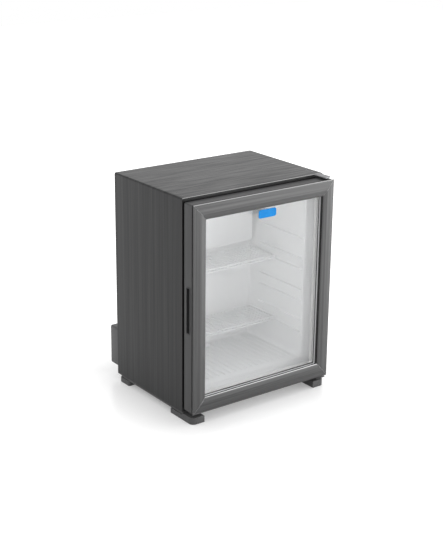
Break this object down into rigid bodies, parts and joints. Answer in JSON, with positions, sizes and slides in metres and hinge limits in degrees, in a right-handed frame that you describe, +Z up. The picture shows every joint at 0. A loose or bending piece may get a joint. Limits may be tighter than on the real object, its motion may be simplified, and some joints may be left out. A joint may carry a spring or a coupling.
{
  "type": "glass door minibar fridge",
  "caption": "Small free-standing minibar fridge with a framed glass door hinged on the right, wire shelves on ribs, moulded feet and an absorption cooler on its back.",
  "frame": {"origin": "on the floor, under the middle of the whole fridge's outer box", "axes": "+Z up, -Y towards the front of the door, +X to the right as seen from the front"},
  "size_m": [0.402, 0.405, 0.528],
  "materials": {
    "brushed_case": "anthracite with a fine brushed grain, upright on the sides and across the top",
    "brushed_bezel": "anthracite anodised extrusion, brushed along its length",
    "door_plastic": "satin dark grey moulding",
    "base_plastic": "black moulding with a fine texture",
    "gasket_rubber": "matt black",
    "liner_plastic": "white thermoformed sheet, soft sheen",
    "foam": "rigid yellowish insulation foam",
    "shelf_coating": "white plastic coat on wire",
    "clear_glass": "clear, polished, faintly green at the edges",
    "spacer_metal": "mill-finish grey",
    "badge_blue": "plain blue plate",
    "hinge_steel": "zinc-plated, satin",
    "zinc_sheet": "galvanised sheet",
    "black_pipe": "black enamel on steel tube",
    "fin_aluminium": "plain",
    "white_lens": "milky translucent",
    "board_green": "lacquered circuit board",
    "lead_black": "black flexible plastic"
  },
  "bodies": {
    "cabinet": {"outer_case": "brushed_case", "rear_panel": "zinc_sheet", "bottom_panel": "zinc_sheet", "insulation_foam": "foam", "inner_liner": "liner_plastic", "base_frame": "base_plastic", "front_left_foot": "base_plastic", "front_right_foot": "base_plastic", "rear_left_foot": "base_plastic", "rear_right_foot": "base_plastic", "evaporator_cover": "liner_plastic", "evaporator_fins": "fin_aluminium", "lamp_housing": "liner_plastic", "lamp_lens": "white_lens", "led_board": "board_green", "top_hinge_bracket": "hinge_steel", "bottom_hinge_bracket": "hinge_steel", "top_hinge_pin": "hinge_steel", "bottom_hinge_pin": "hinge_steel", "top_hinge_screw_front": "hinge_steel", "top_hinge_screw_rear": "hinge_steel", "blanking_plug_front": "base_plastic", "blanking_plug_rear": "base_plastic", "bottom_hinge_screw_left": "hinge_steel", "bottom_hinge_screw_right": "hinge_steel", "boiler_jacket": "zinc_sheet", "boiler_bracket": "zinc_sheet", "heater_element": "hinge_steel", "heater_lead": "lead_black", "vapour_pipe": "black_pipe", "condenser": "black_pipe", "condenser_bracket": "zinc_sheet", "liquid_pipe": "black_pipe", "return_pipe": "black_pipe", "absorber_coil": "black_pipe", "absorber_bracket_left": "zinc_sheet", "absorber_bracket_right": "zinc_sheet", "absorber_vessel": "black_pipe", "solution_pipe": "black_pipe", "control_box": "base_plastic", "power_inlet": "lead_black"},
    "door": {"door_frame": "door_plastic", "door_gasket": "gasket_rubber", "grip_insert": "door_plastic", "badge_plate": "badge_blue", "bezel_top": "brushed_bezel", "bezel_right": "brushed_bezel", "bezel_bottom": "brushed_bezel", "bezel_left": "brushed_bezel", "outer_glass": "clear_glass", "inner_glass": "clear_glass", "glazing_seal": "gasket_rubber", "glass_spacer": "spacer_metal", "top_door_bush": "base_plastic", "bottom_door_bush": "base_plastic"},
    "upper_rack": {"upper_shelf": "shelf_coating"},
    "lower_rack": {"lower_shelf": "shelf_coating"},
    "thermostat_knob": {"temperature_knob": "liner_plastic"}
  },
  "joints": [
    {"name": "door_hinge", "type": "hinge", "parent": "cabinet", "child": "door", "pos_m": [0.188, -0.184, 0.0279], "axis": [0, 0, 1], "range_deg": [0, 120]},
    {"name": "upper_shelf_slide", "type": "slide", "parent": "cabinet", "child": "upper_rack", "axis": [0, -1, 0], "range_m": [0, 0.095]},
    {"name": "lower_shelf_slide", "type": "slide", "parent": "cabinet", "child": "lower_rack", "axis": [0, -1, 0], "range_m": [0, 0.095]},
    {"name": "thermostat_turn", "type": "hinge", "parent": "cabinet", "child": "thermostat_knob", "pos_m": [0.032, -0.0895, 0.4727], "axis": [0, 0, -1], "range_deg": [0, 270]}
  ]
}
